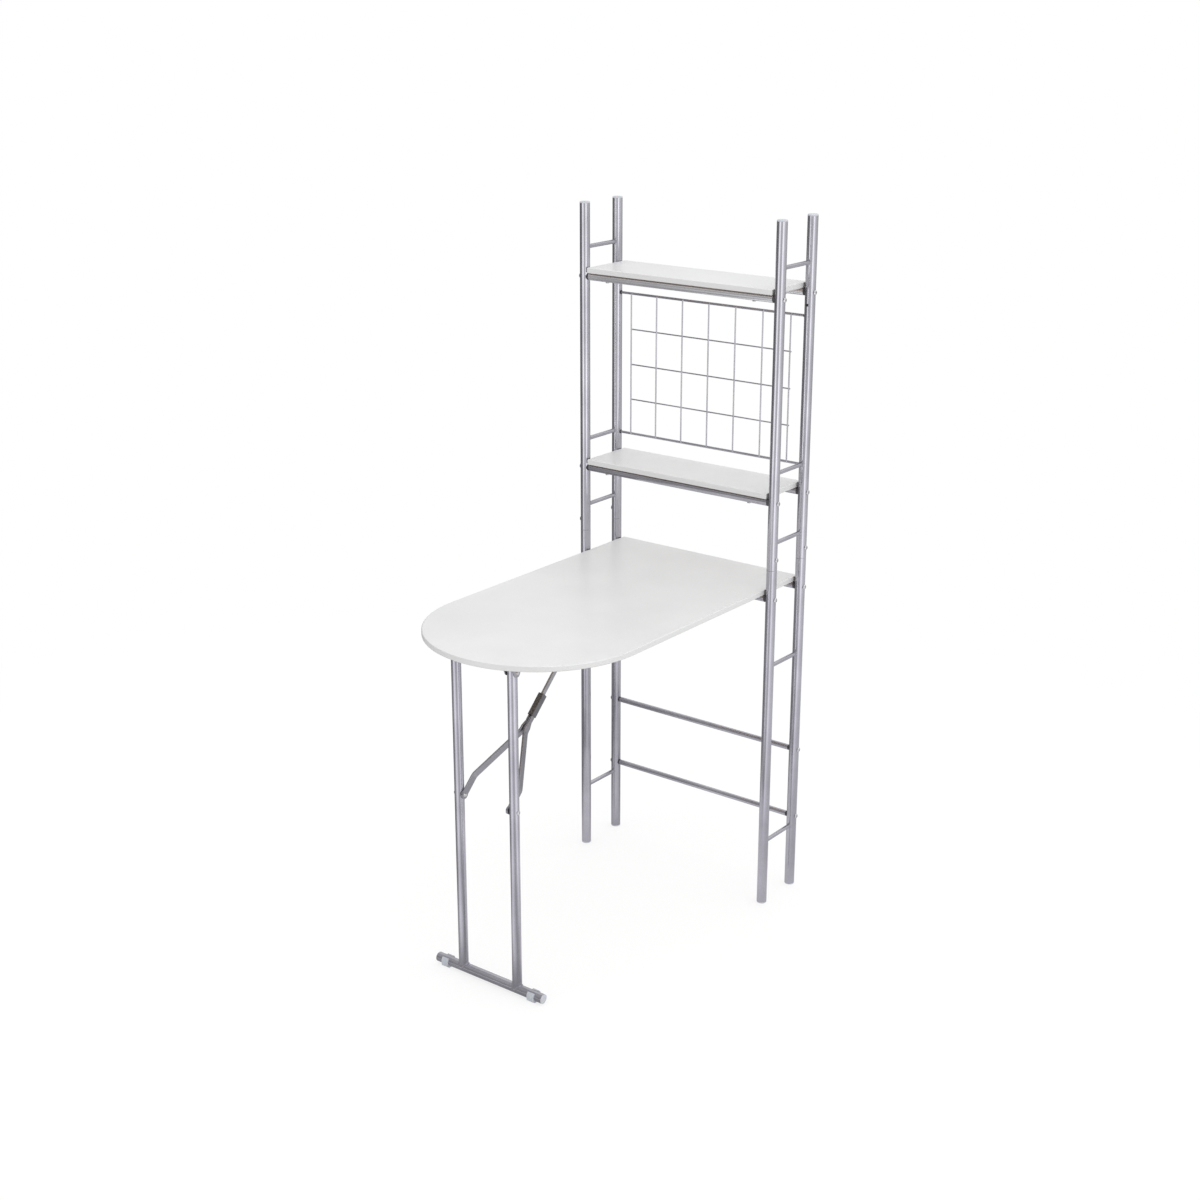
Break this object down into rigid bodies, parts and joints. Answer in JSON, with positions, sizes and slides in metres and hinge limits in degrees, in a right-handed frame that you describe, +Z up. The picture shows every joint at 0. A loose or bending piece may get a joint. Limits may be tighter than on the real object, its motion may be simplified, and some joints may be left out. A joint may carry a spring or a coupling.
{
  "type": "folding kitchen table",
  "caption": "Kitchen table with a round-ended drop top hinged in a slim shelf rack, a folding leg with a sleeve-locked brace, shelves and a wire grid.",
  "frame": {"origin": "on the floor under the middle of the whole table's box", "axes": "+Z up, +X along the shelves, +Y from the round end of the top towards the rack"},
  "size_m": [0.523, 0.826, 1.5],
  "materials": {
    "silver_paint": "satin silver powder coat on steel tube",
    "white_board": "white satin foil on fibreboard",
    "pale_plastic": "pale grey moulded plastic",
    "dark_plastic": "dark grey moulded plastic",
    "zinc_fasteners": "bright zinc plate",
    "bare_steel": "plain zinc-plated steel"
  },
  "bodies": {
    "rack": {"desk_pivot_bolts": "zinc_fasteners", "desk_pivot_plugs": "dark_plastic", "desk_rail_rear": "silver_paint", "joint_spigots": "bare_steel", "lower_crossbar": "silver_paint", "lower_shelf": "white_board", "lower_shelf_rail_front": "silver_paint", "lower_shelf_rail_rear": "silver_paint", "lower_shelf_screws": "zinc_fasteners", "post_caps": "pale_plastic", "post_feet": "pale_plastic", "post_lower_left_front": "silver_paint", "post_lower_left_rear": "silver_paint", "post_lower_right_front": "silver_paint", "post_lower_right_rear": "silver_paint", "post_upper_left_front": "silver_paint", "post_upper_left_rear": "silver_paint", "post_upper_right_front": "silver_paint", "post_upper_right_rear": "silver_paint", "rail_bolts": "zinc_fasteners", "rail_end_plugs": "dark_plastic", "rungs_lower_left": "silver_paint", "rungs_lower_right": "silver_paint", "rungs_upper_left": "silver_paint", "rungs_upper_right": "silver_paint", "seam_bolts": "zinc_fasteners", "upper_crossbar": "silver_paint", "upper_shelf": "white_board", "upper_shelf_rail_front": "silver_paint", "upper_shelf_rail_rear": "silver_paint", "upper_shelf_screws": "zinc_fasteners", "wire_grid": "silver_paint"},
    "top": {"table_top": "white_board", "desk_rail_front": "silver_paint", "top_rail_screws": "zinc_fasteners", "bracket_screws": "zinc_fasteners", "pivot_bolts": "zinc_fasteners", "pivot_nuts": "zinc_fasteners", "leg_hinge_bracket_left": "bare_steel", "leg_hinge_bracket_right": "bare_steel", "brace_anchor_bracket": "bare_steel"},
    "leg": {"leg_tube_left": "silver_paint", "leg_tube_right": "silver_paint", "leg_top_plugs": "pale_plastic", "brace_leg_bolts": "zinc_fasteners", "foot_bar": "silver_paint", "foot_bar_plugs": "pale_plastic", "foot_pads": "pale_plastic"},
    "brace_link": {"brace_link": "bare_steel", "knuckle_rivet": "zinc_fasteners"},
    "lock_sleeve": {"lock_sleeve": "bare_steel"},
    "brace_arms": {"brace_arm_left": "silver_paint", "brace_arm_right": "silver_paint", "arm_rivets": "zinc_fasteners"}
  },
  "joints": [
    {"name": "top_fold", "type": "hinge", "parent": "rack", "child": "top", "pos_m": [0, 0.287, 0.71], "axis": [1, 0, 0], "range_deg": [0, 90]},
    {"name": "leg_fold", "type": "hinge", "parent": "top", "child": "leg", "pos_m": [0, -0.348, 0.698], "axis": [1, 0, 0], "range_deg": [0, 88]},
    {"name": "link_fold", "type": "hinge", "parent": "top", "child": "brace_link", "pos_m": [0, -0.048, 0.698], "axis": [1, 0, 0], "range_deg": [-46.27, 0]},
    {"name": "knuckle_fold", "type": "hinge", "parent": "brace_link", "child": "brace_arms", "pos_m": [0, -0.20038, 0.54917], "axis": [1, 0, 0], "range_deg": [0, 177.61]},
    {"name": "sleeve_slide", "type": "slide", "parent": "brace_link", "child": "lock_sleeve", "axis": [0, 0.7154, 0.6987], "range_m": [0, 0.0705]}
  ],
  "couplings": [
    {"joint": "link_fold", "follows": "leg_fold", "ratio": -0.52007},
    {"joint": "knuckle_fold", "follows": "leg_fold", "ratio": 2.0126},
    {"joint": "sleeve_slide", "follows": "leg_fold", "m_per_rad": 0.045576}
  ]
}
